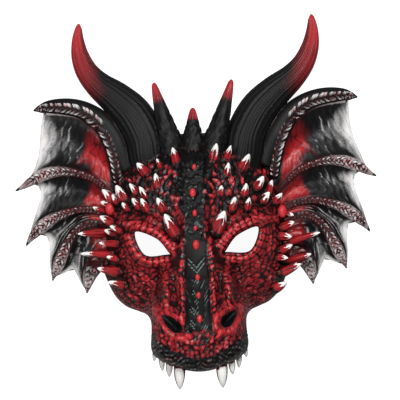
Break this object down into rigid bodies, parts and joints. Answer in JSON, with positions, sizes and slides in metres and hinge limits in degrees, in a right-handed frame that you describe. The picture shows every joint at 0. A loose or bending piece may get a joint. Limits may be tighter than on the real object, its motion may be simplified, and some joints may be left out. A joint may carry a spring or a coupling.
{
  "type": "dragon head mask",
  "caption": "Hollow half mask of moulded foam: a horned dragon's head with webbed ears, a crest of spikes, open eyes and a fanged muzzle.",
  "frame": {"origin": "centre of the footprint at the flat back rim that the mask lies on", "axes": "+Z out of the face, +Y up the face towards the horn tips, +X to the right as the viewer sees the mask"},
  "size_m": [0.3095, 0.312, 0.1229],
  "materials": {
    "painted_foam": "moulded flexible foam, painted dark red and black with pale dry-brushed tips, satin"
  },
  "bodies": {
    "root": {"dragon_mask": "painted_foam"}
  },
  "joints": []
}
